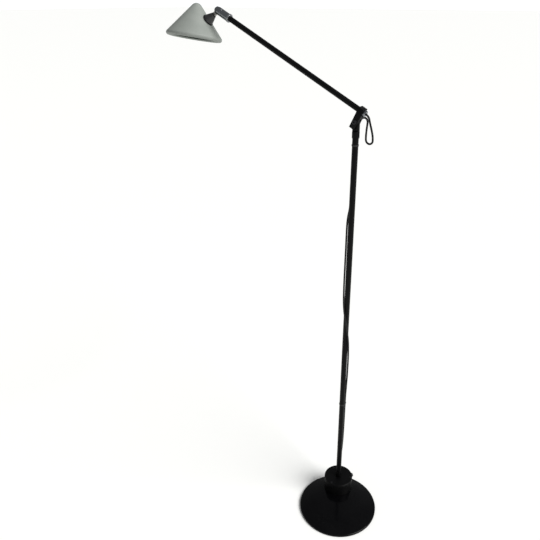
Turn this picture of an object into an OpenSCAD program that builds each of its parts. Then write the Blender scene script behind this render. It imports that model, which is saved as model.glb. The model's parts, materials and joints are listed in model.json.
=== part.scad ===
// Adjustable arm floor lamp: a domed disc base with a transformer hub behind its
// centre, a slim post, a tilting arm on an elbow block, and a small cone shade on a
// rolling and tilting knuckle. Millimetres, +Z up. The origin is on the post's axis,
// at floor level, and the arm reaches towards -X.

/* [Base] */
// Diameter of the base disc
base_d = 244; // [236:1:280]
// Height of the disc's rim
base_rim_h = 8; // [8:1:12]
// Height of the disc's crown
base_crown_h = 30; // [26:1:36]
// Distance from the post's axis to the disc's centre
base_offset = 60; // [50:1:64]
// Direction of the disc's centre from the post, in degrees from +X
base_turn = -60; // [-180:5:180]

/* [Hub] */
// Diameter of the transformer housing
hub_d = 91; // [91:1:100]
// Height of the hub's lid above the floor
hub_top = 71; // [71:1:80]

/* [Post] */
// Height of the elbow pivot above the floor
pivot_z = 1230; // [1150:5:1400]
// Outer diameter of the post tubes
post_d = 16; // [15.5:0.1:16.5]

/* [Arm] */
// Length of the arm from the elbow pivot to the head pivot
arm_l = 490; // [400:5:600]
// Outer diameter of the arm tube
arm_d = 14; // [13.5:0.1:14.5]
// Rise of the arm above level, in degrees
arm_tilt = 26; // [10:1:45]

/* [Shade] */
// Greatest diameter of the shade
shade_d = 151; // [145:1:160]
// Half angle of the shade's cone
shade_angle = 40; // [38:1:42]
// Lean of the shade's top towards the post, in degrees
shade_lean = 3; // [0:1:14]
// Roll of the head about the arm, in degrees
head_roll = -12; // [-30:1:30]

/* [Lead] */
// Diameter of the lamp lead
lead_d = 5; // [4:0.5:5]

/* [Hidden] */
$fn = 64;

base_r = base_d / 2;
hub_r = hub_d / 2;
post_r = post_d / 2;
arm_r = arm_d / 2;
shade_r = shade_d / 2;
lead_r = lead_d / 2;
fit = 0.05;                     // radial clearance of a running fit
gap = 0.3;                      // clearance between faces that only pass each other

// Base: thicknesses and the radius of the crown's sphere
pad_t = 3;
pad_r = base_r - 10;
cover_t = 2.5;
cover_corner = 3;
crown_rise = base_crown_h - base_rim_h;
crown_sphere = (base_r * base_r + crown_rise * crown_rise) / (2 * crown_rise);
seat_z = 12;                    // floor of the pocket that the hub stands in

// Hub: floor, wall, lid and what stands on the floor
wall_t = 2.5;
floor_t = 3;
lid_t = 4;
floor_z = seat_z + floor_t;
lid_z = hub_top - lid_t;
hub_bolt_pcr = 26;
lid_boss_pcr = hub_r - wall_t - 4.2;
lid_boss_turn = 25;
socket_r = 12;
socket_bore = 9.5;
socket_top = lid_z - 5;
core_bottom = floor_z + 3.5;
core_top = floor_z + 31;
gland_turn = 55;                // mains inlet, on the side away from the disc
gland_z = 56;
lead_gland_turn = 125;
lead_gland_r = 22;
stop_z = lid_z - 1.8;

// Post: the bottom end, the joint between the tubes and the head
post_bottom = floor_z + 5.2;
post_split = 610;
post_wall = 1.5;
tongue_t = 8;
tongue_r = 8.5;
head_collar_r = 9.5;
head_collar_z = pivot_z - 24;
tube_top = pivot_z - 40;

// Elbow block, in the arm's own frame: X along the arm, Z across it
block_x = 16;
block_y = 20;
block_below = 18;
arm_rise = 28;                  // arm's axis above the pivot
block_above = arm_rise + 9;
slot_top = 10;
bolt_r = 3;
ferrule_face = 14;              // rear end of the ferrule along the arm

// Arm tip: stations along the arm, measured from the pivot towards the head
sleeve_r = 10;
knuckle_l = 14;                 // straight part, up to the centre of the round end
knuckle_from = arm_l - knuckle_l - 1;
plug_from = arm_l - 19;
sleeve_from = arm_l - 45;
head_drop = 4;                  // head pivot below the arm's axis
head_slot = 6.4;

// Head, in the stem's own frame: Z from the head pivot towards the shade
stem_from = 12;
stem_to = 34;
flange_t = 2;
flank_z = stem_to + flange_t;
flank_s = 64;                   // from the cone's sharp apex to the stem, along the flank
shade_t = 1.2;
apex_r = 16;
bead_r = 6.5;
stem_drop = shade_angle - shade_lean;
glass_z = 85;                   // in the shade's frame, Z from the sharp apex
glass_r = 66.5;

// Route of the lamp lead near the elbow, measured from the elbow pivot
loop_route = [
    [23, 0, 20], [26.6, 0, 18.2], [29.6, 0.2, 16], [32, 0.6, 13], [33.6, 1.1, 9],
    [35, 1.9, 3], [36.8, 3.2, -5], [39.4, 6, -18], [41.2, 9, -31], [41.5, 11, -43],
    [40.1, 12, -48.3], [36.4, 12.8, -52], [31.3, 13.4, -53.4], [26.2, 13.8, -52],
    [22.5, 14, -48.3], [21.1, 14, -43], [21, 14, -31], [21.5, 14.5, -18], [22, 15.8, -7],
    [21.3, 17.2, -0.5], [18.4, 18.6, 4.2], [14.2, 19.4, 6.6], [9.6, 19.6, 6.9],
    [5.2, 19.4, 5], [1.6, 18.8, 1.3], [-0.8, 18, -4], [-2, 16.5, -10.5], [-2.3, 14.8, -19],
    [-2.1, 13, -31], [-1.5, 12.5, -45]
];
// Route along the post: [height, angle round the post, distance from its axis]
post_route = [
    [1170, 97, 11.2], [1120, 110, 11], [1070, 122, 11], [1030, 135, 11], [1000, 155, 11],
    [980, 178, 11], [960, 198, 11], [930, 210, 11], [890, 214, 11], [850, 216, 11.2],
    [810, 218, 11.4], [775, 221, 11.4], [745, 228, 11.2], [720, 242, 11], [700, 260, 11],
    [680, 282, 11], [660, 302, 11], [640, 320, 11], [615, 340, 11], [590, 357, 11],
    [560, 375, 11], [530, 388, 11.2], [500, 396, 11.2], [470, 403, 11.2], [445, 410, 11],
    [425, 416, 11], [405, 421, 11], [385, 424, 11], [360, 425, 11]
];
// Route of the last stretch, down into the hub's lid, written in the same way
base_route = [
    [300, 426, 11], [240, 430, 11], [200, 438, 11.2], [165, 452, 12.5], [135, 468, 15],
    [112, 479, 18.5], [96, 484, 21], [84, 485, 22], [75, 485, 22]
];
function round_post(p) = [p[2] * cos(p[1]), p[2] * sin(p[1]), p[0]];
route = concat(
    [for (p = loop_route) p + [0, 0, pivot_z]],
    [for (p = post_route) round_post(p)],
    [for (p = base_route) round_post(p)]
);
loop_end = len(loop_route) - 1;
post_end = loop_end + len(post_route);
base_end = len(route) - 1;
lead_sides = 8;

// ---- Frames and shared shapes ----

module at_disc() {
    translate([base_offset * cos(base_turn), base_offset * sin(base_turn), 0]) children();
}

module round_hub(turn, r, z = 0) {
    rotate([0, 0, turn]) translate([r, 0, z]) children();
}

module at_arm() {
    translate([0, 0, pivot_z]) rotate([0, arm_tilt, 0]) children();
}

// Along the arm's axis, with Z pointing at the head
module along_arm(from) {
    at_arm() translate([-from, 0, arm_rise]) rotate([0, -90, 0]) children();
}

// The arm tip's parts, rolled about the arm's axis
module at_roll() {
    at_arm() translate([0, 0, arm_rise]) rotate([head_roll, 0, 0]) translate([0, 0, -arm_rise])
        rotate([0, -arm_tilt, 0]) translate([0, 0, -pivot_z]) children();
}

module at_head() {
    at_roll() at_arm() translate([-arm_l, 0, arm_rise - head_drop])
        rotate([0, -arm_tilt - 90 - stem_drop, 0]) children();
}

// The shade's frame: origin at the cone's sharp apex, Z along its axis to the opening
module at_shade() {
    at_head() translate([flank_s, 0, flank_z]) rotate([0, shade_angle - 90, 0]) children();
}

module ring(outer, inner, h) {
    difference() {
        cylinder(r = outer, h = h);
        translate([0, 0, -1]) cylinder(r = inner, h = h + 2);
    }
}

module hex_nut(across, bore, h) {
    difference() {
        cylinder(r = across / 2 / cos(30), h = h, $fn = 6);
        translate([0, 0, -1]) cylinder(r = bore, h = h + 2);
    }
}

// A plain screw: shank from z = 0 up to length, head on top
module screw(shank_r, length, head_r, head_h) {
    cylinder(r = shank_r, h = length);
    translate([0, 0, length]) cylinder(r = head_r, h = head_h);
}

// Points of an arc in a plane
function arc(cx, cy, r, from, to, n) =
    [for (i = [0 : n]) let (a = from + (to - from) * i / n) [cx + r * cos(a), cy + r * sin(a)]];

// ---- Base ----

function crown_z(r, in = 0) =
    base_crown_h - crown_sphere + sqrt(pow(crown_sphere - in, 2) - r * r);

module crown(r, in, from) {
    intersection() {
        translate([0, 0, from]) cylinder(r = r, h = base_crown_h);
        translate([0, 0, base_crown_h - crown_sphere]) sphere(r = crown_sphere - in, $fn = 200);
    }
}

module base_pad() {
    color("dimgray") at_disc() cylinder(r = pad_r, h = pad_t);
}

module base_weight() {
    color("slategray") difference() {
        at_disc() crown(base_r - 6, cover_t + 0.8, pad_t);
        translate([0, 0, seat_z]) cylinder(r = hub_r + 0.5, h = base_crown_h);
        for (i = [0 : 2]) round_hub(120 * i, hub_bolt_pcr) {
            cylinder(r = 2.6, h = seat_z + 1);
            cylinder(r = 5.2, h = pad_t + 4);
        }
    }
}

module base_cover() {
    rim_top = crown_z(base_r) - cover_corner;
    corner = arc(base_r - cover_corner, rim_top, cover_corner, 0, 70, 6);
    outside = [for (i = [0 : 20]) let (r = (base_r - cover_corner - 1) * (1 - i / 20)) [r, crown_z(r)]];
    inside = [for (i = [0 : 20]) let (r = (base_r - cover_t) * i / 20) [r, crown_z(r, cover_t)]];
    color("black") difference() {
        at_disc() rotate_extrude($fn = 120) polygon(concat(
            [[base_r - cover_t, 1], [base_r, 1]], corner, outside, inside));
        cylinder(r = hub_r + 0.4, h = 2 * base_crown_h);
    }
}

// ---- Hub ----

module hub_bolts() {
    color("silver") for (i = [0 : 2]) round_hub(120 * i, hub_bolt_pcr)
        translate([0, 0, floor_z + 3]) mirror([0, 0, 1]) screw(2.5, floor_z + 3 - pad_t - 3.8, 4.5, 3.5);
}

module hub_housing() {
    color("black") difference() {
        union() {
            difference() {
                translate([0, 0, seat_z]) cylinder(r = hub_r, h = lid_z - seat_z);
                translate([0, 0, floor_z]) cylinder(r = hub_r - wall_t, h = lid_z);
            }
            for (i = [0 : 2]) round_hub(120 * i, hub_bolt_pcr, seat_z + 1) cylinder(r = 5, h = floor_t + 2);
            for (i = [0 : 2]) round_hub(lid_boss_turn + 120 * i, lid_boss_pcr, seat_z + 1)
                cylinder(r = 4, h = lid_z - seat_z - 1);
        }
        for (i = [0 : 2]) round_hub(120 * i, hub_bolt_pcr, seat_z - 1) cylinder(r = 2.5, h = floor_t + 8);
        for (i = [0 : 2]) round_hub(lid_boss_turn + 120 * i, lid_boss_pcr, lid_z - 14) cylinder(r = 1.5, h = 20);
        round_hub(gland_turn, hub_r - 10, gland_z) rotate([0, 90, 0]) cylinder(r = 6, h = 20);
    }
}

module hub_lid() {
    corner = arc(hub_r - 2, hub_top - 2, 2, 0, 90, 6);
    color("black") difference() {
        rotate_extrude($fn = 96) polygon(concat(
            [[0, lid_z], [hub_r, lid_z]], corner, [[0, hub_top]]));
        translate([0, 0, lid_z - 1]) cylinder(r = post_r + 0.6, h = lid_t + 2);
        for (i = [0 : 2]) round_hub(lid_boss_turn + 120 * i, lid_boss_pcr, lid_z - 1) {
            cylinder(r = 1.7, h = lid_t + 2);
            translate([0, 0, 3]) cylinder(r = 3.3, h = lid_t);
        }
        round_hub(lead_gland_turn, lead_gland_r, lid_z - 1) cylinder(r = 4, h = lid_t + 2);
    }
}

module lid_screws() {
    color("dimgray") for (i = [0 : 2]) round_hub(lid_boss_turn + 120 * i, lid_boss_pcr, lid_z - 9.8)
        screw(1.5, 12, 3.1, 1.8);
}

module post_socket() {
    color("silver") translate([0, 0, floor_z]) difference() {
        union() {
            cylinder(r = 20, h = 3);
            cylinder(r = socket_r, h = socket_top - floor_z);
        }
        translate([0, 0, 3]) cylinder(r = socket_bore, h = socket_top);
    }
}

module lower_bush() {
    color("ivory") translate([0, 0, floor_z + 3]) difference() {
        cylinder(r = socket_bore, h = 14);
        translate([0, 0, 2]) cylinder(r = post_r + fit, h = 14);
    }
}

module upper_bush() {
    color("ivory") translate([0, 0, socket_top - 14]) difference() {
        union() {
            cylinder(r = socket_bore, h = 14);
            translate([0, 0, 14]) cylinder(r = socket_r, h = 1.5);
        }
        translate([0, 0, -1]) cylinder(r = post_r + fit, h = 20);
    }
}

module transformer() {
    half = (core_top - core_bottom) / 2;
    color("gold") translate([0, 0, core_bottom + half]) rotate_extrude($fn = 96) polygon(concat(
        arc(30, half - 4, 4, 90, 0, 6), arc(30, 4 - half, 4, 0, -90, 6),
        arc(18, 4 - half, 4, -90, -180, 6), arc(18, half - 4, 4, 180, 90, 6)));
}

module transformer_washer() {
    color("silver") translate([0, 0, core_top]) ring(19, socket_r + 0.2, 2);
}

module transformer_nut() {
    color("silver") translate([0, 0, core_top + 2]) hex_nut(30, socket_r + 0.1, 6);
}

// Half ring under the lid that the stop pin runs against
module swivel_stop() {
    color("dimgray") difference() {
        translate([0, 0, stop_z - 1.2]) ring(13.5, post_r + 1.2, 3);
        translate([-20, -1.6, stop_z - 3]) cube([40, 40, 8]);
    }
}

module terminal_block() {
    color("white") round_hub(320, 27, core_top + 3) translate([-5, -12, 0]) difference() {
        cube([10, 24, 10]);
        for (i = [0 : 2]) translate([5, 4 + 8 * i, 4]) cylinder(r = 1.6, h = 10);
    }
}

module mains_gland() {
    color("black") round_hub(gland_turn, hub_r, gland_z) rotate([0, 90, 0]) difference() {
        union() {
            translate([0, 0, -9]) cylinder(r = 5.9, h = 10);
            translate([0, 0, 0.2]) cylinder(r = 8, h = 2.8);
            cylinder(r = 6, h = 7);
        }
        translate([0, 0, -12]) cylinder(r = 3.7, h = 30);
    }
}

module gland_nut() {
    color("silver") round_hub(gland_turn, hub_r - 7, gland_z) rotate([0, 90, 0]) hex_nut(13, 6, 4);
}

module lead_gland() {
    color("black") round_hub(lead_gland_turn, lead_gland_r, lid_z - 2) difference() {
        union() {
            cylinder(r = 3.8, h = lid_t + 4);
            translate([0, 0, lid_t + 2]) cylinder(r1 = 5.5, r2 = 4, h = 6);
        }
        translate([0, 0, -1]) cylinder(r = lead_r + 0.15, h = 20);
    }
}

// ---- Post ----

module post_tube(from, to) {
    translate([0, 0, from]) ring(post_r, post_r - post_wall, to - from);
}

module post_lower() {
    color("black") difference() {
        post_tube(post_bottom, post_split);
        translate([0, 0, stop_z]) rotate([-90, 0, 0]) cylinder(r = 1.2, h = 20);
    }
}

module post_joiner() {
    color("silver") translate([0, 0, post_split - 25]) ring(post_r - post_wall, 4, 50);
}

module post_upper() {
    color("black") post_tube(post_split, tube_top);
}

module post_head() {
    color("black") difference() {
        union() {
            translate([0, 0, tube_top - 25]) cylinder(r = post_r - post_wall, h = 26);
            translate([0, 0, tube_top]) cylinder(r = head_collar_r, h = head_collar_z - tube_top);
            translate([-tongue_r, -tongue_t / 2, head_collar_z - 1])
                cube([2 * tongue_r, tongue_t, pivot_z - head_collar_z + 1]);
            translate([0, tongue_t / 2, pivot_z]) rotate([90, 0, 0]) cylinder(r = tongue_r, h = tongue_t);
        }
        translate([0, tongue_t, pivot_z]) rotate([90, 0, 0]) cylinder(r = bolt_r + fit, h = 2 * tongue_t);
    }
}

module stop_pin() {
    color("silver") translate([0, post_r - 3, stop_z]) rotate([-90, 0, 0]) cylinder(r = 1.2, h = 7);
}

// Thin straps round the post and the lead: below the elbow and above the base
module lead_ties() {
    color("dimgray") for (t = [[pivot_z - 60, 97], [368, 65]]) translate([0, 0, t[0]]) rotate([0, 0, t[1]])
        difference() {
            hull() {
                cylinder(r = post_r + 1, h = 4, $fn = 32);
                translate([11, 0, 0]) cylinder(r = lead_r + 1.1, h = 4, $fn = 32);
            }
            translate([0, 0, -1]) cylinder(r = post_r + fit, h = 6);
            translate([11, 0, -1]) cylinder(r = lead_r + 0.35, h = 6);
        }
}

// ---- Elbow ----

module elbow_block() {
    chamfer = 1.2;
    hx = block_x / 2;
    hy = block_y / 2;
    color("black") at_arm() difference() {
        translate([0, 0, -block_below]) linear_extrude(height = block_below + block_above) polygon([
            [hx, hy - chamfer], [hx - chamfer, hy], [chamfer - hx, hy], [-hx, hy - chamfer],
            [-hx, chamfer - hy], [chamfer - hx, -hy], [hx - chamfer, -hy], [hx, chamfer - hy]]);
        translate([-block_x, -tongue_t / 2 - 0.6, -block_below - 1])
            cube([2 * block_x, tongue_t + 1.2, block_below + 1 + slot_top]);
        translate([0, block_y, 0]) rotate([90, 0, 0]) cylinder(r = bolt_r + fit, h = 2 * block_y);
        translate([-block_x, 0, arm_rise]) rotate([0, 90, 0]) cylinder(r = arm_r + fit, h = 2 * block_x);
        translate([0, 0, arm_rise]) cylinder(r = 2, h = 20);
    }
}

// A shoulder bolt along Y: domed head towards -Y
module pivot_bolt() {
    hy = block_y / 2;
    color("dimgray") at_arm() translate([0, -hy, 0]) rotate([-90, 0, 0]) difference() {
        union() {
            cylinder(r = bolt_r, h = block_y + 5);
            translate([0, 0, -3]) cylinder(r = 6, h = 3);
        }
        translate([0, 0, -4]) cylinder(r = 2.3, h = 2.8, $fn = 6);
    }
}

module friction_washers() {
    color("saddlebrown") at_arm() for (side = [-1, 1])
        translate([0, side * (tongue_t / 2 + 0.3) - 0.25, 0]) rotate([-90, 0, 0]) ring(7.5, bolt_r + fit, 0.5);
}

module spring_washer() {
    color("silver") at_arm() translate([0, block_y / 2, 0]) rotate([-90, 0, 0]) ring(5.6, bolt_r + fit, 1.2);
}

module pivot_nut() {
    color("dimgray") at_arm() translate([0, block_y / 2 + 1.2, 0]) rotate([-90, 0, 0]) hex_nut(10, bolt_r, 3.6);
}

// ---- Arm ----

module arm_tube() {
    color("black") along_arm(2 - ferrule_face) ring(arm_r, arm_r - 1.2, plug_from + ferrule_face - 2);
}

module arm_screw() {
    color("silver") at_arm() translate([0, 0, arm_rise + arm_r]) cylinder(r = 2, h = block_above - arm_rise - arm_r);
}

// Cap over the arm's rear end, where the lead comes out
module arm_ferrule() {
    color("lightgray") along_arm(-ferrule_face) difference() {
        union() {
            cylinder(r1 = arm_r + 0.2, r2 = arm_r + 1.2, h = 1.2);
            translate([0, 0, 1.2]) cylinder(r = arm_r + 1.2, h = 3.8);
        }
        translate([0, 0, 2]) cylinder(r = arm_r, h = 10);
        translate([0, 0, -1]) cylinder(r = lead_r + 0.3, h = 4);
    }
}

module arm_wires() {
    color("red") for (side = [-1, 1]) along_arm(4 - ferrule_face) translate([0, 1.1 * side, 0])
        cylinder(r = 0.9, h = plug_from + ferrule_face - 6);
}

module tip_plug() {
    color("silver") along_arm(plug_from - 17) difference() {
        union() {
            cylinder(r = arm_r - 1.2, h = 17);
            translate([0, 0, 17]) cylinder(r = 8, h = 2);
        }
        translate([0, 0, -1]) cylinder(r = 2.6, h = 30);
    }
}

// ---- Tip: rolls about the arm's axis ----

module tip_sleeve() {
    color("silver") at_roll() along_arm(sleeve_from) difference() {
        union() {
            cylinder(r = sleeve_r - 1, h = 6);
            translate([0, 0, 5]) cylinder(r = sleeve_r, h = knuckle_from - sleeve_from - 5);
        }
        translate([0, 0, -1]) cylinder(r = arm_r + fit, h = 60);
        translate([0, 0, plug_from - sleeve_from - 0.3]) cylinder(r = 8.3, h = 20);
        translate([0, 0, 14]) rotate([0, 90, 180]) cylinder(r = 1.5, h = 20);
    }
}

module sleeve_collar() {
    color("gainsboro") along_arm(sleeve_from) ring(sleeve_r + 1, sleeve_r - 1, 5);
}

module sleeve_screw() {
    color("dimgray") at_roll() along_arm(sleeve_from + 14) rotate([0, 90, 180])
        translate([0, 0, arm_r + gap]) cylinder(r = 1.5, h = sleeve_r - arm_r - gap - 0.3);
}

module tip_knuckle() {
    profile = concat([[0, 0], [sleeve_r, 0]], arc(0, knuckle_l, sleeve_r, 0, 90, 16));
    color("silver") at_roll() along_arm(knuckle_from) difference() {
        rotate_extrude() polygon(profile);
        translate([0, 0, -1]) cylinder(r = 3, h = 4);
        translate([-20, -head_slot / 2, knuckle_l - 9]) cube([40, head_slot, 30]);
        translate([-head_drop, 20, arm_l - knuckle_from]) rotate([90, 0, 0]) cylinder(r = 2, h = 40);
    }
}

module head_pin() {
    color("dimgray") at_roll() along_arm(arm_l) translate([-head_drop, 7.6, 0]) rotate([90, 0, 0]) cylinder(r = 2, h = 15.2);
}

// ---- Head ----

module stem_eye() {
    color("silver") at_head() difference() {
        union() {
            translate([0, 3, 0]) rotate([90, 0, 0]) cylinder(r = 5.5, h = 6);
            translate([-5, -3, 0]) cube([10, 6, stem_from]);
            translate([0, 0, stem_from]) cylinder(r = 4, h = 44.2 - stem_from);
        }
        translate([0, 10, 0]) rotate([90, 0, 0]) cylinder(r = 2 + fit, h = 20);
        translate([0, 0, 20]) cylinder(r = 2.5, h = 40);
    }
}

module stem_grip() {
    color("black") at_head() difference() {
        translate([0, 0, stem_from]) cylinder(r1 = 6.5, r2 = 15, h = stem_to - stem_from);
        translate([0, 0, stem_from - 1]) cylinder(r = 4, h = 40);
    }
}

module stem_flange() {
    color("silver") at_head() translate([0, 0, stem_to]) ring(16, 4.2, flange_t - 0.3);
}

module stem_nut() {
    color("silver") at_head() translate([0, 0, flank_z + shade_t + 0.6]) hex_nut(14, 4, 4);
}

module shade() {
    bead_cr = shade_r - bead_r;
    bead_cz = (bead_cr + bead_r / cos(shade_angle)) / tan(shade_angle);
    apex_cz = apex_r / sin(shade_angle);
    outside = concat(
        arc(0, apex_cz, apex_r, -90, -shade_angle, 10),
        arc(bead_cr, bead_cz, bead_r, -shade_angle, 150, 20));
    inside = concat(
        arc(bead_cr, bead_cz, bead_r - shade_t, 150, -shade_angle, 20),
        arc(0, apex_cz, apex_r - shade_t, -shade_angle, -90, 10));
    color("lightgray") difference() {
        at_shade() rotate_extrude($fn = 120) polygon(concat(outside, inside));
        at_head() translate([0, 0, flank_z - 4]) cylinder(r = 4.2, h = 10);
    }
}

module lamp_holder() {
    color("ivory") at_head() difference() {
        translate([0, 0, 44.4]) cylinder(r = 8, h = 9.6);
        for (side = [-1, 1]) translate([2 * side, 0, 48]) cylinder(r = 0.6, h = 10);
    }
}

module capsule_pins() {
    color("silver") at_head() for (side = [-1, 1]) translate([2 * side, 0, 48]) cylinder(r = 0.5, h = 9);
}

module halogen_capsule() {
    color("azure") at_head() difference() {
        union() {
            translate([-4, -1.8, 56]) cube([8, 3.6, 5]);
            translate([0, 0, 60]) cylinder(r = 5, h = 15);
            translate([0, 0, 75]) sphere(r = 5);
        }
        for (side = [-1, 1]) translate([2 * side, 0, 55]) cylinder(r = 0.5 + fit, h = 2);
    }
}

module cover_glass() {
    color("palegreen") at_shade() translate([0, 0, glass_z]) cylinder(r = glass_r, h = 3);
}

module glass_clips() {
    color("silver") at_shade() for (i = [0 : 2]) rotate([0, 0, 60 + 120 * i])
        translate([60, -3, glass_z + 3]) cube([11, 6, 1]);
}

// ---- Lamp lead ----

function unit(v) = v / norm(v);
function heading(i) = unit(route[min(i + 1, base_end)] - route[max(i - 1, 0)]);
function lead_ring(i) = let (t = heading(i), u = unit(cross(t, [0, 1, 0])), v = cross(t, u))
    [for (k = [0 : lead_sides - 1]) let (a = 360 * k / lead_sides)
        route[i] + lead_r * (cos(a) * u + sin(a) * v)];

// One stretch of the lead, swept from route point a to route point b
module lead(a, b) {
    n = lead_sides;
    rings = b - a;
    points = [for (i = [a : b]) each lead_ring(i)];
    sides = [for (i = [0 : rings - 1]) for (k = [0 : n - 1]) each
        let (p = i * n + k, q = i * n + (k + 1) % n) [[p, p + n, q], [q, p + n, q + n]]];
    ends = [[for (k = [0 : n - 1]) k], [for (k = [n - 1 : -1 : 0]) rings * n + k]];
    color("black") polyhedron(points = points, faces = concat(sides, ends));
}

module lead_loop() lead(0, loop_end);
module lead_post() lead(loop_end, post_end);
module lead_base() lead(post_end, base_end);

base_pad();
base_weight();
base_cover();
hub_bolts();
hub_housing();
hub_lid();
lid_screws();
post_socket();
lower_bush();
upper_bush();
transformer();
transformer_washer();
transformer_nut();
swivel_stop();
terminal_block();
mains_gland();
gland_nut();
lead_gland();
post_lower();
post_joiner();
post_upper();
post_head();
stop_pin();
lead_ties();
elbow_block();
pivot_bolt();
friction_washers();
spring_washer();
pivot_nut();
arm_tube();
arm_screw();
arm_ferrule();
arm_wires();
tip_plug();
tip_sleeve();
sleeve_collar();
sleeve_screw();
tip_knuckle();
head_pin();
stem_eye();
stem_grip();
stem_flange();
stem_nut();
shade();
lamp_holder();
halogen_capsule();
capsule_pins();
cover_glass();
glass_clips();
lead_loop();
lead_post();
lead_base();
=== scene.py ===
import json
import math
import bmesh
import bpy
from mathutils import Matrix, Vector


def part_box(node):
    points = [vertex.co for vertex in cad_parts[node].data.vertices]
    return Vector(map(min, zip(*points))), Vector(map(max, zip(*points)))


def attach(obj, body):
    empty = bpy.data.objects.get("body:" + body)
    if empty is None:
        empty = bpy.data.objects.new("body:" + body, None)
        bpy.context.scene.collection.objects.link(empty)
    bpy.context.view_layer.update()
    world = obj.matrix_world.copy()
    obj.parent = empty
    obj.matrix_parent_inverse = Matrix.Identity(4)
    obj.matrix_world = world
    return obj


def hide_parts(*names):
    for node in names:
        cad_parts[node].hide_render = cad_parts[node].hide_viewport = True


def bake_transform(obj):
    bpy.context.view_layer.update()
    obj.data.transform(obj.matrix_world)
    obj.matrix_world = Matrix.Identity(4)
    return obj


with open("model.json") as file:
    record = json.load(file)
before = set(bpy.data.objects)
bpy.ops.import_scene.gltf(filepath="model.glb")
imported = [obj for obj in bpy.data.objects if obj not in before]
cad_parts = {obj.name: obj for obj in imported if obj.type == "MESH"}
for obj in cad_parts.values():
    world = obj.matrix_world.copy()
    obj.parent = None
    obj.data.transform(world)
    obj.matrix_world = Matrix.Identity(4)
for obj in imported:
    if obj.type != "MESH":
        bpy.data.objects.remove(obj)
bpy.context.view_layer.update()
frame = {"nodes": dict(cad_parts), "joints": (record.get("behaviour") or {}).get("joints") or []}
mm = 0.001

# ---- Camera, floor and light
# The lamp stands on a plain pale floor, seen from a standing person's eye height. A large
# soft window on the camera's right lights it, and the pale room fills the shadows.
eye = Vector((0.6597, -1.2228, 1.50))
heading = math.radians(35)
pitch = math.radians(25.9)
camera = bpy.data.objects.new("camera", bpy.data.cameras.new("camera"))
bpy.context.scene.collection.objects.link(camera)
camera.data.lens = 37.4
camera.data.shift_x = -0.037
camera.location = eye
camera.rotation_euler = (math.pi / 2 - pitch, 0, heading)
bpy.context.scene.camera = camera
bpy.context.scene.view_settings.view_transform = "Standard"

floor_mesh = bmesh.new()
bmesh.ops.create_grid(floor_mesh, x_segments=1, y_segments=1, size=80)
floor = bpy.data.objects.new("floor", bpy.data.meshes.new("floor"))
floor_mesh.to_mesh(floor.data)
bpy.context.scene.collection.objects.link(floor)

world = bpy.data.worlds.new("studio")
world.use_nodes = True
sky = world.node_tree.nodes["Background"]
sky.inputs["Color"].default_value = (0.97, 0.985, 1, 1)
seen = world.node_tree.nodes.new("ShaderNodeLightPath")
level = world.node_tree.nodes.new("ShaderNodeMapRange")
room_light = 0.32
room_seen = 1.1
level.inputs["To Min"].default_value = room_light
level.inputs["To Max"].default_value = room_seen
world.node_tree.links.new(seen.outputs["Is Camera Ray"], level.inputs["Value"])
world.node_tree.links.new(level.outputs["Result"], sky.inputs["Strength"])
bpy.context.scene.world = world

window = bpy.data.objects.new("window", bpy.data.lights.new("window", "SUN"))
window.data.energy = 3.95
window.data.angle = math.radians(40)
window.data.color = (1, 0.997, 0.99)
window_side = Vector((1.25, 0.1, 1.1))
window.rotation_euler = window_side.to_track_quat("Z", "Y").to_euler()
bpy.context.scene.collection.objects.link(window)

# ---- Lamp lead
# A round two core cable in a black PVC sheath, 5 mm across. It leaves the arm's rear
# end, hangs in a loop, runs down the post in its own slow curves and enters the lid.


def linear(code):
    """A hex sRGB colour as linear RGBA."""
    parts = [int(code[i:i + 2], 16) / 255 for i in (1, 3, 5)]
    return (*(c / 12.92 if c <= 0.04045 else ((c + 0.055) / 1.055) ** 2.4 for c in parts), 1)


def add(tree, kind, inputs, **settings):
    """Adds a node with its settings; an input is a value or another node's output."""
    made = tree.nodes.new(kind)
    for key, value in settings.items():
        setattr(made, key, value)
    for key, value in inputs.items():
        if isinstance(value, bpy.types.NodeSocket):
            tree.links.new(value, made.inputs[key])
        else:
            made.inputs[key].default_value = value
    return made


def finish_named(name, constants):
    """A new material with constants on its shader's sockets."""
    made = bpy.data.materials.new(name)
    made.use_nodes = True
    shader = made.node_tree.nodes["Principled BSDF"]
    for key, value in constants.items():
        shader.inputs[key].default_value = value
    return made


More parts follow.
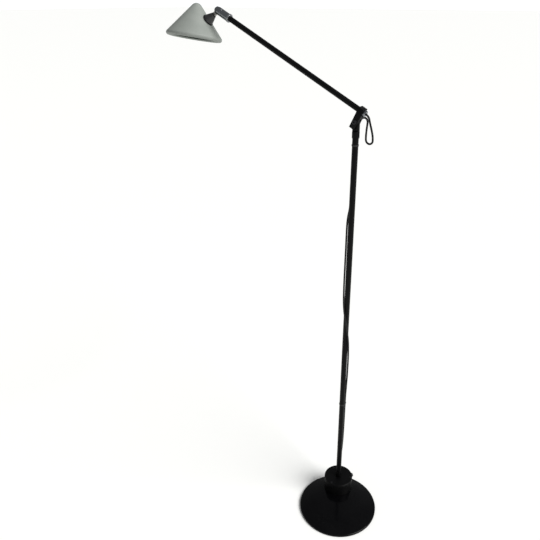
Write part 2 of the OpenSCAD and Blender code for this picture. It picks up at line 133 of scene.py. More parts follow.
def speckle(material, grain, depth, rough, tints, patch=40, stretch=(1, 1, 1)):
    """Gives a finish its grain in mm, bump depth in mm, roughness range and tints."""
    tree = material.node_tree
    shader = tree.nodes["Principled BSDF"]
    place = add(tree, "ShaderNodeTexCoord", {}).outputs["Object"]
    spread = add(tree, "ShaderNodeMapping", {"Vector": place, "Scale": stretch}).outputs["Vector"]
    fine = add(tree, "ShaderNodeTexNoise", {"Vector": spread, "Scale": 1 / (grain * mm), "Detail": 3})
    broad = add(tree, "ShaderNodeTexNoise", {"Vector": spread, "Scale": 1 / (patch * mm), "Detail": 4})
    rub = add(tree, "ShaderNodeMapRange", {
        "Value": broad.outputs["Fac"], "From Min": 0.3, "From Max": 0.7,
        "To Min": rough[0], "To Max": rough[1]})
    mix = add(tree, "ShaderNodeMath", {0: fine.outputs["Fac"], 1: broad.outputs["Fac"]}, operation="ADD")
    ramp = add(tree, "ShaderNodeValToRGB", {"Fac": add(
        tree, "ShaderNodeMath", {0: mix.outputs[0], 1: 0.5}, operation="MULTIPLY").outputs[0]})
    ramp.color_ramp.elements[0].position = 0.36
    ramp.color_ramp.elements[1].position = 0.64
    ramp.color_ramp.elements[0].color = linear(tints[0])
    ramp.color_ramp.elements[1].color = linear(tints[1])
    bump = add(tree, "ShaderNodeBump", {
        "Height": fine.outputs["Fac"], "Strength": 1, "Distance": depth * mm})
    tree.links.new(rub.outputs[0], shader.inputs["Roughness"])
    tree.links.new(ramp.outputs["Color"], shader.inputs["Base Color"])
    tree.links.new(bump.outputs["Normal"], shader.inputs["Normal"])
    return material


# Plasticised PVC, extruded: dark, a soft sheen, slightly uneven along its length.
pvc_sheath = speckle(finish_named("pvc_sheath", {"IOR": 1.53, "Specular IOR Level": 0.2}),
                     1.2, 0.03, (0.42, 0.58), ("#050506", "#0d0d0e"), 25)

pivot = Vector(next(j for j in frame["joints"] if j["name"] == "elbow_tilt")["pos_m"])
loop_route = [
    (0.023, 0, 0.02), (0.0266, 0, 0.0182), (0.0296, 0.0002, 0.016), (0.032, 0.0006, 0.013),
    (0.0336, 0.0011, 0.009), (0.035, 0.0019, 0.003), (0.0368, 0.0032, -0.005),
    (0.0394, 0.006, -0.018), (0.0412, 0.009, -0.031), (0.0415, 0.011, -0.043),
    (0.0401, 0.012, -0.0483), (0.0364, 0.0128, -0.052), (0.0313, 0.0134, -0.0534),
    (0.0262, 0.0138, -0.052), (0.0225, 0.014, -0.0483), (0.0211, 0.014, -0.043),
    (0.021, 0.014, -0.031), (0.0215, 0.0145, -0.018), (0.022, 0.0158, -0.007),
    (0.0213, 0.0172, -0.0005), (0.0184, 0.0186, 0.0042), (0.0142, 0.0194, 0.0066),
    (0.0096, 0.0196, 0.0069), (0.0052, 0.0194, 0.005), (0.0016, 0.0188, 0.0013),
    (-0.0008, 0.018, -0.004), (-0.002, 0.0165, -0.0105), (-0.0023, 0.0148, -0.019),
    (-0.0021, 0.013, -0.031), (-0.0015, 0.0125, -0.045)]
# Height, angle round the post in degrees, distance from the post's axis
post_route = [
    (1.170, 97, 0.0112), (1.120, 110, 0.011), (1.070, 122, 0.011), (1.030, 135, 0.011),
    (1.000, 155, 0.011), (0.980, 178, 0.011), (0.960, 198, 0.011), (0.930, 210, 0.011),
    (0.890, 214, 0.011), (0.850, 216, 0.0112), (0.810, 218, 0.0114), (0.775, 221, 0.0114),
    (0.745, 228, 0.0112), (0.720, 242, 0.011), (0.700, 260, 0.011), (0.680, 282, 0.011),
    (0.660, 302, 0.011), (0.640, 320, 0.011), (0.615, 340, 0.011), (0.590, 357, 0.011),
    (0.560, 375, 0.011), (0.530, 388, 0.0112), (0.500, 396, 0.0112), (0.470, 403, 0.0112),
    (0.445, 410, 0.011), (0.425, 416, 0.011), (0.405, 421, 0.011), (0.385, 424, 0.011),
    (0.360, 425, 0.011)]
base_route = [
    (0.360, 425, 0.011), (0.300, 426, 0.011), (0.240, 430, 0.011), (0.200, 438, 0.0112),
    (0.165, 452, 0.0125), (0.135, 468, 0.015), (0.112, 479, 0.0185), (0.096, 484, 0.021),
    (0.084, 485, 0.022), (0.075, 485, 0.022)]
lead_d = 0.005


def round_post(point):
    height, turn, r = point
    return Vector((r * math.cos(math.radians(turn)), r * math.sin(math.radians(turn)), height))


def eased(points, steps=6):
    """A smooth line through every point."""
    ends = [2 * points[0] - points[1], *points, 2 * points[-1] - points[-2]]
    line = []
    for a, b, c, d in zip(ends, ends[1:], ends[2:], ends[3:]):
        for k in range(steps):
            t = k / steps
            line.append(0.5 * (2 * b + (c - a) * t + (2 * a - 5 * b + 4 * c - d) * t * t
                               + (3 * b - a - 3 * c + d) * t ** 3))
    return line + [points[-1]]


def cable(name, path, diameter, material):
    """A round tube along a path, as a mesh object."""
    curve = bpy.data.curves.new(name, "CURVE")
    curve.dimensions = "3D"
    curve.bevel_depth = diameter / 2
    curve.bevel_resolution = 4
    curve.use_fill_caps = True
    spline = curve.splines.new("POLY")
    spline.points.add(len(path) - 1)
    for point, at in zip(spline.points, path):
        point.co = (*at, 1)
    drawn = bpy.data.objects.new(name + "_line", curve)
    bpy.context.scene.collection.objects.link(drawn)
    depsgraph = bpy.context.evaluated_depsgraph_get()
    mesh = bpy.data.meshes.new_from_object(drawn.evaluated_get(depsgraph))
    bpy.data.objects.remove(drawn)
    mesh.shade_smooth()
    mesh.materials.clear()
    mesh.materials.append(material)
    made = bpy.data.objects.new(name, mesh)
    bpy.context.scene.collection.objects.link(made)
    return made


upper_path = eased([pivot + Vector(p) for p in loop_route] + [round_post(p) for p in post_route])
upper_lead = cable("upper_lead", upper_path, lead_d, pvc_sheath)
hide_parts("lead_loop", "lead_post")
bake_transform(upper_lead)
lower_path = eased([round_post(p) for p in base_route])
lower_lead = cable("lower_lead", lower_path, lead_d, pvc_sheath)
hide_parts("lead_base")
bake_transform(lower_lead)

# ---- Base cover
# A shallow dome pressed from 2.5 mm steel sheet, stove enamelled in gloss black. Its
# edge is turned down to the floor, and a hole behind its crown lets the hub through.


def arc(cx, cz, r, start, end, steps):
    """Points of an arc in a profile, angles in degrees from +X."""
    angles = [math.radians(start + (end - start) * k / steps) for k in range(steps + 1)]
    return [(cx + r * math.cos(a), cz + r * math.sin(a)) for a in angles]


def rounded(corners, steps=4):
    """A profile whose (x, z, fillet) corners are rounded."""
    points = []
    for i, (x, z, fillet) in enumerate(corners):
        here = Vector((x, z))
        if fillet == 0:
            points.append((x, z))
            continue
        before = (Vector(corners[i - 1][:2]) - here).normalized()
        after = (Vector(corners[(i + 1) % len(corners)][:2]) - here).normalized()
        half = before.angle(after) / 2
        centre = here + (before + after).normalized() * fillet / math.sin(half)
        first = here + before * fillet / math.tan(half) - centre
        last = here + after * fillet / math.tan(half) - centre
        for k in range(steps + 1):
            points.append(tuple(centre + first.lerp(last, k / steps).normalized() * fillet))
    return points


def turned(profile, steps=96):
    """A solid turned about Z from (radius, height) points in mm."""
    bm = bmesh.new()
    line = [bm.verts.new((r * mm, 0, z * mm)) for r, z in profile]
    solid = profile[0][0] == 0 and profile[-1][0] == 0
    for a, b in zip(line, line[1:] if solid else line[1:] + line[:1]):
        bm.edges.new((a, b))
    bmesh.ops.spin(bm, geom=bm.verts[:] + bm.edges[:], cent=(0, 0, 0), axis=(0, 0, 1),
                   angle=2 * math.pi, steps=steps, use_merge=True)
    bmesh.ops.remove_doubles(bm, verts=bm.verts, dist=1e-7)
    bmesh.ops.recalc_face_normals(bm, faces=bm.faces)
    return bm


def placed(bm, *matrices):
    for matrix in matrices:
        bmesh.ops.transform(bm, matrix=matrix, verts=bm.verts)
    return bm


def shift(x=0, y=0, z=0):
    return Matrix.Translation(Vector((x, y, z)) * mm)


def piece(bm, name, body, slot, material, *nodes, cutters=(), sharp=32):
    """Makes a bmesh a finished piece: cut, smooth shaded, on its body, in its node's stead."""
    mesh = bpy.data.meshes.new(name)
    bm.to_mesh(mesh)
    bm.free()
    made = bpy.data.objects.new(name, mesh)
    bpy.context.scene.collection.objects.link(made)
    tools = []
    for k, cutter in enumerate(cutters):
        tool = bpy.data.objects.new(f"{name}_cut{k}", bpy.data.meshes.new(f"{name}_cut{k}"))
        cutter.to_mesh(tool.data)
        cutter.free()
        bpy.context.scene.collection.objects.link(tool)
        tools.append(tool)
        cut = made.modifiers.new(f"cut{k}", "BOOLEAN")
        cut.operation = "DIFFERENCE"
        cut.solver = "EXACT"
        cut.object = tool
    if tools:
        depsgraph = bpy.context.evaluated_depsgraph_get()
        carved = bpy.data.meshes.new_from_object(made.evaluated_get(depsgraph))
        made.modifiers.clear()
        made.data = carved
        for tool in tools:
            bpy.data.objects.remove(tool)
    made.data.shade_smooth()
    made.data.set_sharp_from_angle(angle=math.radians(sharp))
    made.data.materials.clear()
    made.data.materials.append(material)
    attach(made, body)
    if nodes:
        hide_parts(*nodes)
    return made


cover_low, cover_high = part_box("base_cover")
disc_x = (cover_low.x + cover_high.x) / 2 / mm
disc_y = (cover_low.y + cover_high.y) / 2 / mm
disc_r = 122
rim_h = 8
crown_h = 30
sheet_t = 2.5
crown_r = (disc_r ** 2 + (crown_h - rim_h) ** 2) / (2 * (crown_h - rim_h))
hub_r = 45.5


def crown(r, inset=0):
    return crown_h - crown_r + math.sqrt((crown_r - inset) ** 2 - r * r)


# Stove enamel over pressed steel: a hard gloss with a little orange peel and fine dust.
stove_enamel = speckle(finish_named("stove_enamel", {
    "IOR": 1.5, "Specular IOR Level": 0.1, "Coat Weight": 0.03, "Coat Roughness": 0.08}),
    6, 0.012, (0.14, 0.24), ("#020203", "#060607"), 60)
edge = 3
outside = arc(disc_r - edge, crown(disc_r) - edge, edge, 0, 66, 8)
outside += [((disc_r - edge - 1) * (1 - k / 28), crown(disc_r * (1 - k / 28))) for k in range(1, 29)]
inside = [((disc_r - sheet_t) * k / 28, crown((disc_r - sheet_t) * k / 28, sheet_t)) for k in range(29)]
dome = turned(inside + [(disc_r - sheet_t, 1.4), (disc_r - sheet_t + 0.4, 1), (disc_r - 0.4, 1),
                        (disc_r, 1.4)] + outside, 160)
hub_hole = placed(turned([(0, -10), (hub_r + 0.4, -10), (hub_r + 0.4, 60), (0, 60)], 128))
piece(placed(dome, shift(disc_x, disc_y)), "base_dome", "base", "base_enamel", stove_enamel,
      "base_cover", cutters=[hub_hole])

# ---- Base weight and pad
# A sand cast iron disc fills the dome, and a ribbed rubber mat is glued under it, so
# that the lamp stands firm and does not mark the floor.
cast_iron = speckle(finish_named("cast_iron", {"Metallic": 0.9}), 0.9, 0.25, (0.55, 0.8),
                    ("#3a3a3c", "#56565a"), 14)
rubber_mat = speckle(finish_named("rubber_mat", {"IOR": 1.52, "Specular IOR Level": 0.3}), 0.8, 0.08,
                     (0.75, 0.92), ("#101010", "#1e1e1e"), 20)


def dress(material, *names):
    """Gives CAD nodes their finish."""
    for name in names:
        slots = frame["nodes"][name].data.materials
        slots.clear()
        slots.append(material)


dress(cast_iron, "base_weight")
pad_r = disc_r - 10
pad_t = 3
rib_step = 6
groove = ((0, 0), (0.6, 0.6), (2.4, 0.6), (3, 0))
ribs = [(pad_r - rib_step * (k + 1) - step, z) for k in range(10) for step, z in groove]
mat = turned([(0, pad_t), (pad_r - 0.4, pad_t), (pad_r, pad_t - 0.4), (pad_r, 0.4), (pad_r - 0.4, 0),
              *ribs, (0, 0)], 128)
piece(placed(mat, shift(disc_x, disc_y)), "rubber_pad", "base", "pad_rubber", rubber_mat, "base_pad")

# ---- Hub
# The transformer's housing is a turned and drilled steel can with a lid, both powder
# coated in satin black. Three socket screws hold the lid, and a ring seam shows.
powder_coat = speckle(finish_named("powder_coat", {"IOR": 1.5, "Specular IOR Level": 0.1}),
                      0.9, 0.035, (0.36, 0.48), ("#030304", "#090909"), 45)
seat_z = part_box("hub_housing")[0].z / mm
lid_z, top_z = (corner.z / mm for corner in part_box("hub_lid"))
wall_t = 2.5
floor_t = 3
can_top = lid_z - 0.1
can = turned(rounded([(0, seat_z, 0), (hub_r, seat_z, 0.6), (hub_r, can_top, 0.7),
                      (hub_r - wall_t, can_top, 0.3), (hub_r - wall_t, seat_z + floor_t, 1),
                      (0, seat_z + floor_t, 0)]), 128)
piece(can, "hub_can", "base", "hub_enamel", powder_coat, "hub_housing")
screw_r = hub_r - wall_t - 4.2
lid_turns = [math.radians(25 + 120 * k) for k in range(3)]
lead_turn = math.radians(125)
lead_r = 22
seats = [placed(turned([(0, -3), (3.5, -3), (3.5, 3), (0, 3)], 32),
                shift(screw_r * math.cos(a), screw_r * math.sin(a), top_z + 1.7)) for a in lid_turns]
lid_bore = 8.7
lid = turned(rounded([(lid_bore, lid_z, 0.3), (hub_r, lid_z, 0.4), (hub_r, top_z, 2),
                      (lid_bore, top_z, 0.6)], 6), 128)
piece(lid, "hub_cap", "base", "hub_enamel", powder_coat, "hub_lid", cutters=seats)
black_oxide = speckle(finish_named("black_oxide", {"Metallic": 0.8}), 0.5, 0.02, (0.38, 0.55),
                      ("#1b1b1d", "#2b2b2e"), 6)


def socket_screw(head_r, head_h, key_r, length, shank_r):
    """A low headed screw with a hexagon socket, head up, its shank down from z = 0."""
    bm = turned(rounded([(0, -length, 0), (shank_r, -length, 0.2), (shank_r, 0, 0), (head_r, 0, 0.2),
                         (head_r, head_h, head_h * 0.5), (0, head_h, 0)]), 40)
    key_depth = 0.6 * head_h
    key = placed(turned([(0, -key_depth), (key_r, -key_depth), (key_r, 2), (0, 2)], 6), shift(z=head_h))
    return bm, key


for k, a in enumerate(lid_turns):
    at = shift(screw_r * math.cos(a), screw_r * math.sin(a), top_z - 1.1)
    head, key = socket_screw(3.1, 1.6, 1.2, 8, 1.5)
    piece(placed(head, at), f"lid_screw_{k + 1}", "base", "black_steel", black_oxide, "lid_screws",
          cutters=[placed(key, at)])

# ---- Glands
# The lead enters the lid through a tapered, ribbed rubber gland. The mains inlet at the
# back right of the can is a moulded gland with a flange, held inside by a thin nut.
gland_rubber = speckle(finish_named("gland_rubber", {"IOR": 1.52, "Specular IOR Level": 0.4}), 0.7, 0.03,
                       (0.5, 0.65), ("#0e0e0f", "#1c1c1d"), 8)
lead_bore = lead_d / 2 / mm + 0.15
boot = turned(rounded([(lead_bore, -4, 0), (3.8, -4, 0.2), (3.8, 0, 0), (5.5, 0, 0.3), (5.4, 1.4, 0.4),
                       (4.6, 1.8, 0.3), (4.8, 2.6, 0.4), (4.2, 3.2, 0.3), (4.5, 4, 0.4), (4, 6, 0.5),
                       (lead_bore, 6, 0.3)]), 48)
to_boot = shift(lead_r * math.cos(lead_turn), lead_r * math.sin(lead_turn), top_z)
piece(placed(boot, to_boot), "lead_boot", "base", "black_plastic", gland_rubber, "lead_gland")
inlet_turn = math.radians(55)
inlet_z = 56
inlet = turned(rounded([(3.7, -9, 0), (5.9, -9, 0.3), (5.9, 0.2, 0), (8, 0.2, 0.4), (8, 3, 0.6), (6, 3, 0.3),
                        (6, 6.2, 0.8), (4.6, 7, 0.3), (3.7, 7, 0.2)]), 48)
to_inlet = (shift(hub_r * math.cos(inlet_turn), hub_r * math.sin(inlet_turn), inlet_z)
            @ Matrix.Rotation(inlet_turn, 4, "Z") @ Matrix.Rotation(math.pi / 2, 4, "Y"))
piece(placed(inlet, to_inlet), "mains_inlet", "base", "black_plastic", gland_rubber, "mains_gland")

# ---- Post
# Two lengths of 16 mm steel tube, powder coated like the hub and joined end to end over
# a plug, with a turned head pressed into the top. A fine ring shows at the joint.
post_r = 8
post_bore = post_r - 1.5
bottom_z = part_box("post_lower")[0].z / mm
split_z, tube_top = (corner.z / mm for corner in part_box("post_upper"))
for name, low, high, node in (("lower_tube", bottom_z, split_z, "post_lower"),
                              ("upper_tube", split_z, tube_top, "post_upper")):
    tube = turned(rounded([(post_bore, low, 0.2), (post_r, low, 0.35), (post_r, high, 0.35),
                           (post_bore, high, 0.2)]), 64)
    piece(tube, name, "post", "tube_enamel", powder_coat, node)

pivot_z = pivot.z / mm
collar_r = 9.5
collar_z = pivot_z - 24
spigot_l = 25
collar = turned(rounded([(0, tube_top - spigot_l, 0), (post_bore, tube_top - spigot_l, 0.5),
                         (post_bore, tube_top + 0.05, 0), (collar_r, tube_top + 0.05, 0.5),
                         (collar_r, collar_z, 1), (0, collar_z, 0)]), 64)
piece(collar, "post_collar", "post", "tube_enamel", powder_coat, "post_head")


def slab(points, thickness, bevel):
    """A plate in the XZ plane, centred on y = 0, with its edges softened."""
    bm = bmesh.new()
    face = bm.faces.new([bm.verts.new((x * mm, -thickness / 2 * mm, z * mm)) for x, z in points])
    grown = bmesh.ops.extrude_face_region(bm, geom=[face])
    bmesh.ops.translate(bm, vec=(0, thickness * mm, 0),
                        verts=[v for v in grown["geom"] if isinstance(v, bmesh.types.BMVert)])
    bmesh.ops.recalc_face_normals(bm, faces=bm.faces)
    rims = [e for e in bm.edges if abs(e.calc_face_angle(0)) > math.radians(60)]
    bmesh.ops.bevel(bm, geom=rims, offset=bevel * mm, offset_type="OFFSET", segments=3, profile=0.5,
                    affect="EDGES", material=-1)
    return bm


tongue_t = 8
tongue_r = 8.5
tongue = slab([(tongue_r, -25), *arc(0, 0, tongue_r, 0, 180, 24), (-tongue_r, -25)], tongue_t, 0.6)
piece(placed(tongue, shift(z=pivot_z)), "post_tongue", "post", "tube_enamel", powder_coat,
      cutters=[placed(turned([(0, -9), (3.05, -9), (3.05, 9), (0, 9)], 48),
                      Matrix.Rotation(math.pi / 2, 4, "X"), shift(z=pivot_z))])

# ---- Lead straps
# Two moulded straps clip round the tube and hold the lead against it.
width = 4
gap_x = 11
outer_r = post_r + 1
lead_c = lead_d / 2 / mm
clip_r = lead_c + 1.1
lean = math.degrees(math.acos((outer_r - clip_r) / gap_x))
for k, (z, turn) in enumerate(((pivot_z - 60, 97), (368, 65))):
    strap = slab(arc(0, 0, outer_r, lean, 360 - lean, 28) + arc(gap_x, 0, clip_r, -lean, lean, 14),
                 width, 0.3)
    turn_up = Matrix.Rotation(math.pi / 2, 4, "X")
    holes = [turned([(0, -5), (post_r + 0.05, -5), (post_r + 0.05, 5), (0, 5)], 48),
             placed(turned([(0, -5), (lead_c + 0.3, -5), (lead_c + 0.3, 5), (0, 5)], 32), shift(x=gap_x))]
    to_post = shift(z=z + width / 2) @ Matrix.Rotation(math.radians(turn), 4, "Z")
    piece(placed(strap, turn_up, to_post), f"lead_strap_{k + 1}", "post", "black_plastic", gland_rubber,
          "lead_ties", cutters=[placed(h, to_post) for h in holes])

# ---- Elbow block
# A steel bar, slotted from below to straddle the post's tongue and cross drilled for the
# arm. Its long edges are chamfered before it is powder coated.
roll = next(j for j in frame["joints"] if j["name"] == "head_roll")
tilt = next(j for j in frame["joints"] if j["name"] == "head_tilt")


def basis(x, y, origin):
    """The frame with these X and Y directions at a point."""
    made = Matrix((x, y, x.cross(y))).transposed().to_4x4()
    made.translation = origin
    return made


out = Vector(roll["axis"])
arm_place = basis(-out, Vector((0, 1, 0)), pivot)
arm_rise = 28
arm_l = 490
block_x, block_y = 16, 20
block_low, block_high = -18, 37
block = bmesh.new()
bmesh.ops.create_cube(block, size=1)
bmesh.ops.scale(block, vec=Vector((block_x, block_y, block_high - block_low)) * mm, verts=block.verts)
bmesh.ops.translate(block, vec=Vector((0, 0, (block_high + block_low) / 2)) * mm, verts=block.verts)
long_edges = [e for e in block.edges if abs(e.verts[0].co.z - e.verts[1].co.z) > 0.01]
bmesh.ops.bevel(block, geom=long_edges, offset=1.2 * mm, offset_type="OFFSET", segments=3, profile=0.5,
                affect="EDGES", material=-1)
ends = [e for e in block.edges if abs(e.verts[0].co.z - e.verts[1].co.z) < 1e-6]
bmesh.ops.bevel(block, geom=ends, offset=0.5 * mm, offset_type="OFFSET", segments=2, profile=0.5,
                affect="EDGES", material=-1)
slot_cut = bmesh.new()
bmesh.ops.create_cube(slot_cut, size=1)
bmesh.ops.scale(slot_cut, vec=Vector((40, tongue_t + 1.2, 40)) * mm, verts=slot_cut.verts)
bmesh.ops.translate(slot_cut, vec=Vector((0, 0, -10)) * mm, verts=slot_cut.verts)
along_x = Matrix.Rotation(math.pi / 2, 4, "Y")
along_y = Matrix.Rotation(math.pi / 2, 4, "X")
arm_bore = placed(turned([(0, -20), (7.05, -20), (7.05, 20), (0, 20)], 64), along_x, shift(z=arm_rise))
bolt_bore = placed(turned([(0, -20), (3.05, -20), (3.05, 20), (0, 20)], 48), along_y)
grub_bore = turned([(0, arm_rise), (2.02, arm_rise), (2.02, 40), (0, 40)], 32)
piece(placed(block, arm_place), "elbow_bar", "arm", "tube_enamel", powder_coat, "elbow_block",
      cutters=[placed(c, arm_place) for c in (slot_cut, arm_bore, bolt_bore, grub_bore)])

# ---- Elbow bolt
# A low headed shoulder bolt with a hexagon socket passes through the block and the
# tongue; a spring washer and a nut at the far side set the friction of the tilt.
spring_steel = speckle(finish_named("spring_steel", {"Metallic": 1}), 0.4, 0.01, (0.3, 0.45),
                       ("#6d6e70", "#87888a"), 6)
bolt, bolt_key = socket_screw(6, 3, 2.3, block_y + 5, 3)
to_bolt = arm_place @ shift(y=-block_y / 2) @ Matrix.Rotation(math.pi / 2, 4, "X")
piece(placed(bolt, to_bolt), "elbow_bolt", "arm", "black_steel", black_oxide, "pivot_bolt",
      cutters=[placed(bolt_key, to_bolt)])
nut = turned([(3.02, 0.2), (3.3, 0), (5.5, 0), (5.77, 0.3), (5.77, 3.3), (5.5, 3.6), (3.3, 3.6),
              (3.02, 3.4)], 6)
piece(placed(nut, Matrix.Rotation(-math.pi / 2, 4, "X"), shift(y=block_y / 2 + 1.2), arm_place), "elbow_nut",
      "arm", "black_steel", black_oxide, "pivot_nut")
washer = turned(rounded([(3.05, 0, 0.1), (5.6, 0, 0.2), (5.6, 1.2, 0.2), (3.05, 1.2, 0.1)]), 40)
piece(placed(washer, Matrix.Rotation(-math.pi / 2, 4, "X"), shift(y=block_y / 2), arm_place), "elbow_spring",
      "arm", "spring_steel", spring_steel, "spring_washer")

# ---- Arm
# A 14 mm steel tube in the same satin black, clamped in the block by a set screw. A short
# chromed ferrule closes its rear end, and the lead comes out through it.
arm_r = 7
to_arm = arm_place @ shift(z=arm_rise) @ Matrix.Rotation(-math.pi / 2, 4, "Y")
plug_at = arm_l - 19
tube_from = -12
arm_bore_r = arm_r - 1.2
arm_tube = turned(rounded([(arm_bore_r, tube_from, 0.2), (arm_r, tube_from, 0.3), (arm_r, plug_at - 0.1, 0.3),
                           (arm_bore_r, plug_at - 0.1, 0.2)]), 64)
piece(placed(arm_tube, to_arm), "arm_pipe", "arm", "tube_enamel", powder_coat, "arm_tube")
chrome_plate = speckle(finish_named("chrome_plate", {"Metallic": 1}), 0.7, 0.002, (0.08, 0.2),
                       ("#6f7275", "#85888b"), 9, (1, 1, 0.2))
face_at, lip_at = -14, -9
ferrule_r = arm_r + 1.2
lead_way = 2.8
seat_r, seat_at = arm_r + 0.02, tube_from - 0.02
ferrule = turned(rounded([(lead_way, face_at, 0.2), (arm_r + 0.2, face_at, 0.3),
                          (ferrule_r, face_at + 1.2, 0.5), (ferrule_r, lip_at, 0.4), (seat_r, lip_at, 0.1),
                          (seat_r, seat_at, 0), (lead_way, seat_at, 0.1)]), 64)
piece(placed(ferrule, to_arm), "rear_ferrule", "arm", "chrome_plate", chrome_plate, "arm_ferrule")
grub = turned(rounded([(0, 35.05, 0), (1.95, 35.05, 0.1), (1.95, 36.7, 0.3), (0, 36.7, 0)]), 32)
grub_key = turned([(0, 35.6), (1, 35.6), (1, 38), (0, 38)], 6)
piece(placed(grub, arm_place), "arm_grub_screw", "arm", "black_steel", black_oxide, "arm_screw",
      cutters=[placed(grub_key, arm_place)])

# ---- Arm tip
# A chromed brass sleeve turns on the arm's end. It has a light ring at its rear edge, a
# small grub screw, and a round nosed knuckle that is slotted for the stem's eye.
tip_place = basis(-out, Vector(tilt["axis"]), Vector(roll["pos_m"]))
to_tip = tip_place @ Matrix.Rotation(-math.pi / 2, 4, "Y")
sleeve_r = 10
knuckle_at = -15
sleeve_at = -45
ring_end = sleeve_at + 5
sleeve_end = knuckle_at - 0.05
bore_end = knuckle_at - 5
running_r = arm_r + 0.06
recess_r = 8.3
sleeve = turned(rounded([(running_r, sleeve_at, 0.1), (sleeve_r - 1, sleeve_at, 0.2),
                         (sleeve_r - 1, ring_end, 0), (sleeve_r, ring_end, 0.4), (sleeve_r, sleeve_end, 0.3),
                         (recess_r, sleeve_end, 0), (recess_r, bore_end, 0), (running_r, bore_end, 0.1)]), 72)
piece(placed(sleeve, to_tip), "chrome_sleeve", "tip", "chrome_plate", chrome_plate, "tip_sleeve")
satin_chrome = speckle(finish_named("satin_chrome", {"Metallic": 1}), 0.5, 0.004, (0.25, 0.38),
                       ("#8a8c8e", "#a2a4a6"), 8)
ring_r, ring_bore = sleeve_r + 1, sleeve_r - 0.98
ring = turned(rounded([(ring_bore, sleeve_at, 0.2), (ring_r, sleeve_at, 0.8), (ring_r, ring_end, 0.8),
                       (ring_bore, ring_end, 0.2)]), 72)
piece(placed(ring, to_tip), "sleeve_ring", "tip", "chrome_plate", satin_chrome, "sleeve_collar")
knuckle = turned([(0, knuckle_at), (sleeve_r - 0.4, knuckle_at), (sleeve_r, knuckle_at + 0.4),
                  *arc(0, -1, sleeve_r, 0, 90, 20)], 72)
eye_slot = bmesh.new()
bmesh.ops.create_cube(eye_slot, size=1)
slot_w = 6.4
bmesh.ops.scale(eye_slot, vec=Vector((40, slot_w, 30)) * mm, verts=eye_slot.verts)
bmesh.ops.translate(eye_slot, vec=Vector((0, 0, knuckle_at + 20)) * mm, verts=eye_slot.verts)
head_drop = 4
pin_r = 2
pin_hole = placed(turned([(0, -20), (pin_r + 0.02, -20), (pin_r + 0.02, 20), (0, 20)], 32), along_y,
                  shift(x=-head_drop))
piece(placed(knuckle, to_tip), "round_knuckle", "tip", "chrome_plate", chrome_plate, "tip_knuckle",
      cutters=[placed(c, to_tip) for c in (eye_slot, pin_hole)])
pin_half = 7.6
pin = turned(rounded([(0, -pin_half, 0), (pin_r, -pin_half, 0.5), (pin_r, pin_half, 0.5),
                      (0, pin_half, 0)]), 32)
piece(placed(pin, along_y, shift(x=-head_drop), to_tip), "knuckle_pin", "tip", "black_steel", black_oxide,
      "head_pin")

# ---- Stem
# A nickel plated steel eye turns in the knuckle. A black moulded grip, a plain cone that
# stays cool to the hand, slides over it and ends in a flange against the shade.
stem_turn = math.radians(-153)
stem_from, stem_to, stem_end = 12, 34, 44.2
head_place = basis(-out, Vector(tilt["axis"]), Vector(tilt["pos_m"])) @ Matrix.Rotation(stem_turn, 4, "Y")
nickel = speckle(finish_named("satin_nickel", {"Metallic": 1}), 0.4, 0.006, (0.25, 0.4),
                 ("#8b8a86", "#a5a49f"), 7)
eye = slab([(5, stem_from + 0.2), *arc(0, 0, 5.5, 24, -204, 28), (-5, stem_from + 0.2)], 6, 0.4)
eye_hole = placed(turned([(0, -9), (pin_r + 0.05, -9), (pin_r + 0.05, 9), (0, 9)], 32), along_y, head_place)
piece(placed(eye, head_place), "stem_lug", "head", "steel_eye", nickel, "stem_eye", cutters=[eye_hole])
shank_r, wire_way = 3.95, 2.5
shank = turned(rounded([(0, 20, 0), (0, stem_from, 0), (shank_r, stem_from, 0), (shank_r, stem_end, 0.3),
                        (wire_way, stem_end, 0.1), (wire_way, 20, 0)]), 32)
piece(placed(shank, head_place), "stem_shank", "head", "steel_eye", nickel)
# Phenolic resin, moulded: nearly black, a dull even gloss.
phenolic = speckle(finish_named("phenolic", {"IOR": 1.6, "Specular IOR Level": 0.45}), 0.8, 0.02,
                   (0.42, 0.55), ("#151516", "#202021"), 12)
grip_bore = 4.02
grip = turned(rounded([(grip_bore, stem_from, 0.2), (6.5, stem_from, 0.8), (9.4, 19.5, 6), (15, stem_to, 0.8),
                       (grip_bore, stem_to, 0.2)], 6), 72)
piece(placed(grip, head_place), "stem_cone", "head", "black_plastic", phenolic, "stem_grip")
plate_r, plate_bore = 16, 4.2
plate_low, plate_high = stem_to + 0.02, 35.7
flange = turned(rounded([(plate_bore, plate_low, 0), (plate_r, plate_low, 0.5), (plate_r, plate_high, 0.5),
                         (plate_bore, plate_high, 0)]), 72)
piece(placed(flange, head_place), "stem_plate", "head", "steel_eye", black_oxide, "stem_flange")

# ---- Shade
# A cone spun from 1.2 mm sheet over a former, with a round crown and a rolled edge, and
# stove enamelled in a matt pale grey green outside and in.
half_cone = 40
shade_angle = math.radians(half_cone)
shade_r = 75.5
bead_r = 6.5
wall = 1.2
crown_end_r = 16
bead_x = shade_r - bead_r
bead_z = (bead_x + bead_r / math.cos(shade_angle)) / math.tan(shade_angle)
crown_z = crown_end_r / math.sin(shade_angle)
apex_x, apex_z = 64, 36
shade_place = (head_place @ shift(apex_x, 0, apex_z)
               @ Matrix.Rotation(math.radians(half_cone - 90), 4, "Y"))
shell = (arc(0, crown_z, crown_end_r, -90, -half_cone, 14)
         + arc(bead_x, bead_z, bead_r, -half_cone, 150, 28))
lining = (arc(bead_x, bead_z, bead_r - wall, 150, -half_cone, 28)
          + arc(0, crown_z, crown_end_r - wall, -half_cone, -90, 14))
shell[0] = (0, shell[0][1])
lining[-1] = (0, lining[-1][1])
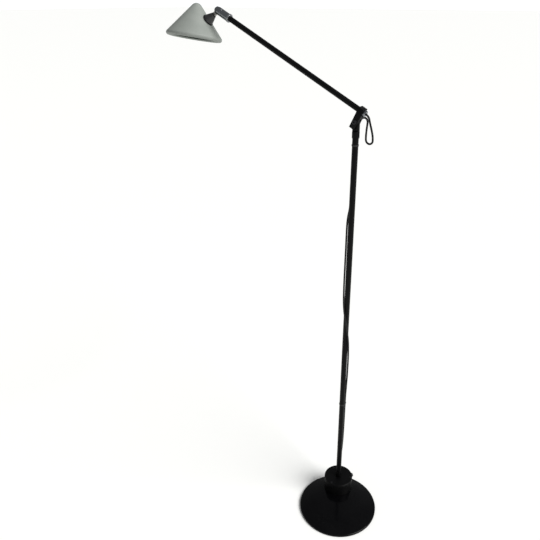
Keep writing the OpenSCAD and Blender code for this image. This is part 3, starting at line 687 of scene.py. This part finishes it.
# Enamel loaded with matting agent: an even pale surface with a broad, weak highlight.
matt_enamel = speckle(finish_named("matt_enamel", {"IOR": 1.5, "Specular IOR Level": 0.35}), 1.1, 0.02,
                      (0.5, 0.62), ("#7d827d", "#888c87"), 35)
hole_r = 4.3
stem_hole = placed(turned([(0, 30), (hole_r, 30), (hole_r, 44), (0, 44)], 32), head_place)
piece(placed(turned(shell + lining, 160), shade_place), "spun_shade", "head", "shade_enamel", matt_enamel,
      "shade", cutters=[stem_hole])

# ---- Lamp
# A steatite holder carries a halogen capsule on two pins. Frosted safety glass closes
# the shade below it, held by three bent clips.
steatite = speckle(finish_named("steatite", {"IOR": 1.6}), 0.6, 0.02, (0.6, 0.75), ("#d9d4c6", "#e6e2d6"), 8)
holder_r, holder_low, holder_high = 8, 44.4, 54
holder = turned(rounded([(0, holder_low, 0), (holder_r, holder_low, 0.5), (holder_r, holder_high, 0.8),
                         (0, holder_high, 0)]), 48)
piece(placed(holder, head_place), "steatite_holder", "head", "steatite", steatite, "lamp_holder")
quartz = finish_named("quartz_glass", {"IOR": 1.46, "Roughness": 0.03, "Transmission Weight": 1,
                                       "Base Color": linear("#f4f6f8")})
bulb = turned([(0, 56), (3.2, 56), (3.6, 57), (4.4, 60), (5, 61.5), (5, 75), *arc(0, 75, 5, 8, 90, 10)], 40)
piece(placed(bulb, head_place), "quartz_capsule", "head", "quartz", quartz, "halogen_capsule")
frosted = finish_named("frosted_glass", {"IOR": 1.5, "Transmission Weight": 0.6, "Roughness": 0.35,
                                         "Base Color": linear("#c9d6cc")})
glass_r, glass_low, glass_high = 66.5, 85, 88
pane = turned(rounded([(0, glass_low, 0), (glass_r, glass_low, 0.6), (glass_r, glass_high, 0.6),
                       (0, glass_high, 0)]), 128)
piece(placed(pane, shade_place), "glass_pane", "head", "float_glass", frosted, "cover_glass")

# ---- Hidden parts
# What is inside the hub, the post and the head keeps its machined shape and gets the
# finish that it leaves the workshop with.
zinc_plate = speckle(finish_named("zinc_plate", {"Metallic": 1}), 0.5, 0.01, (0.3, 0.45),
                     ("#8f9296", "#aeb1b4"), 9)
acetal = speckle(finish_named("acetal", {"IOR": 1.48}), 0.6, 0.01, (0.4, 0.55), ("#d6d2c4", "#e2dfd3"), 10)
polyester_film = speckle(finish_named("polyester_film", {"IOR": 1.6}), 2, 0.1, (0.25, 0.4),
                         ("#8f7420", "#b3932f"), 12)
vulcan_fibre = speckle(finish_named("vulcan_fibre", {"IOR": 1.5}), 0.5, 0.02, (0.6, 0.75),
                       ("#4b2416", "#63301e"), 6)
silicone = speckle(finish_named("silicone_sheath", {"IOR": 1.43}), 0.8, 0.01, (0.45, 0.6),
                   ("#5a1410", "#74201a"), 9)
dress(zinc_plate, "hub_bolts", "post_socket", "transformer_washer", "transformer_nut", "gland_nut",
      "post_joiner", "stop_pin", "swivel_stop", "stem_nut", "glass_clips", "capsule_pins")
dress(black_oxide, "sleeve_screw")
dress(acetal, "lower_bush", "upper_bush", "tip_plug", "terminal_block")
dress(polyester_film, "transformer")
dress(vulcan_fibre, "friction_washers")
dress(silicone, "arm_wires")

# Painted concrete: a plain pale floor.
floor_paint = finish_named("floor_paint", {"Base Color": linear("#f4f4f2"), "IOR": 1.5, "Roughness": 0.8,
                                           "Specular IOR Level": 0.2})
floor.data.materials.append(floor_paint)
